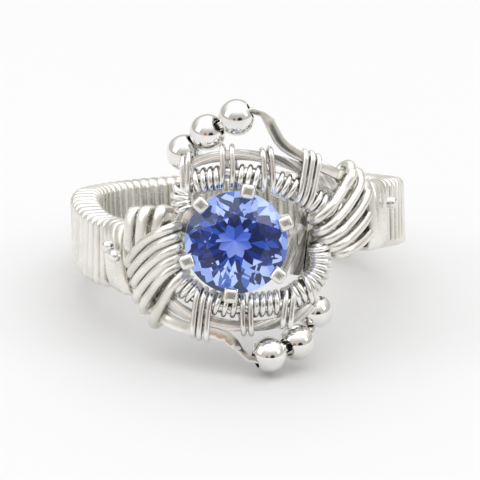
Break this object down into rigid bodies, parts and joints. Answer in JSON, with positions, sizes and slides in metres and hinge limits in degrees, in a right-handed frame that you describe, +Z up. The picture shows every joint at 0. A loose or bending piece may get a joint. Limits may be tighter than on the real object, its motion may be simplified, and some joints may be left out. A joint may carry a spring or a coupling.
{
  "type": "ring",
  "caption": "Wire-wrapped silver finger ring with a round blue stone in a prong setting and small round beads on its swirling wire ends.",
  "frame": {"origin": "centre of the bottom of the bounding box, on the floor that the ring lies on", "axes": "+Z up; the ring lies on its side with the finger hole about 17 degrees from upright; the stone faces -Y; +X is the right side as seen from the stone's front"},
  "size_m": [0.0232, 0.0276, 0.0183],
  "materials": {
    "stone": "faceted violet-blue gem, polished",
    "setting": "polished silver",
    "core_wire": "drawn square silver wire",
    "bead": "polished silver",
    "coil_wire": "fine round silver wire",
    "wrap_wire": "polished half-round silver wire"
  },
  "bodies": {
    "root": {"stone": "stone", "setting": "setting", "inner_wire": "core_wire", "upper_middle_wire": "core_wire", "upper_outer_wire": "core_wire", "lower_middle_wire": "core_wire", "lower_outer_wire": "core_wire", "front_brace": "core_wire", "upper_bead_1": "bead", "upper_bead_2": "bead", "upper_bead_3": "bead", "lower_bead_1": "bead", "lower_bead_2": "bead", "lower_bead_3": "bead", "upper_coil": "coil_wire", "lower_coil": "coil_wire", "upper_binding": "coil_wire", "lower_binding": "coil_wire", "shank_wrap": "wrap_wire", "left_slanted_wrap": "wrap_wire", "right_slanted_wrap": "wrap_wire", "left_upright_wrap": "wrap_wire", "right_upright_wrap": "wrap_wire", "left_collar": "wrap_wire", "right_collar": "wrap_wire", "left_wrap_end_1": "wrap_wire", "left_wrap_end_2": "wrap_wire", "right_wrap_end_1": "wrap_wire"}
  },
  "joints": []
}
